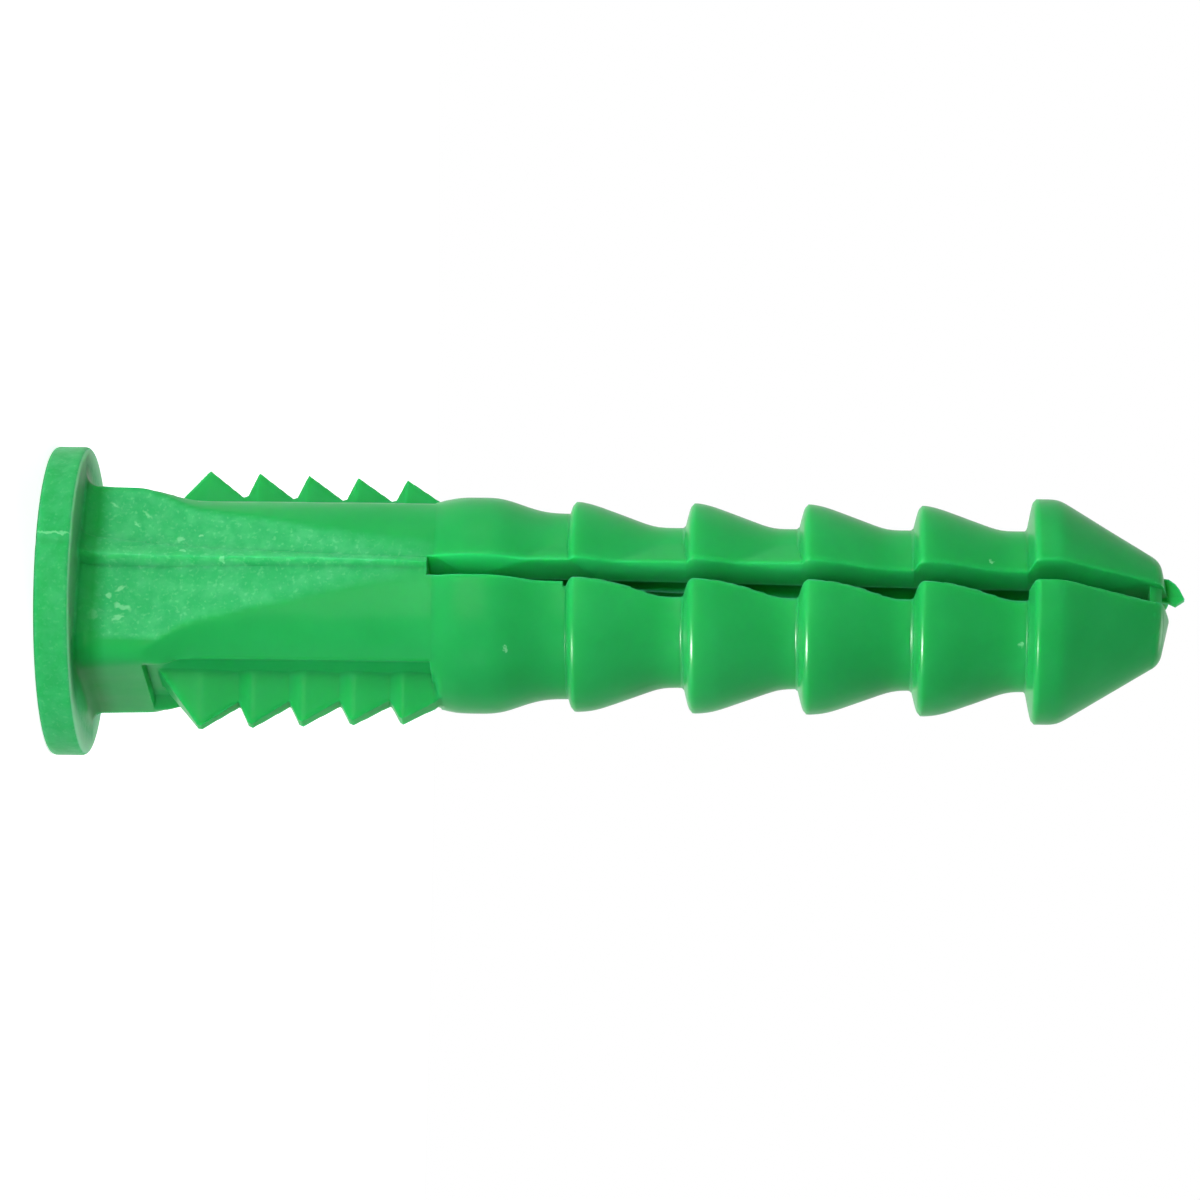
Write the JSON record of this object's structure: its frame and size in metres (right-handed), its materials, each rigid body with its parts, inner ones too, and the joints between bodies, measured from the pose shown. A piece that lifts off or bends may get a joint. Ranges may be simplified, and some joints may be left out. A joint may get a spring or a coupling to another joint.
{
  "type": "plastic wall anchor",
  "caption": "Split plastic wall anchor with a round flange, toothed side fins, barbed rings and a conical nose. A screw driven into it spreads its two legs in a drilled hole.",
  "frame": {"origin": "centre of the flange's outer face, where the screw enters", "axes": "+Z along the anchor's axis from the flange to the nose, +X through one toothed fin, and the slit in the plane x = 0"},
  "size_m": [0.0106, 0.0106, 0.0385],
  "materials": {
    "green_plastic": "semi-gloss moulded plastic, slightly translucent"
  },
  "bodies": {
    "root": {"wall_anchor": "green_plastic"}
  },
  "joints": []
}
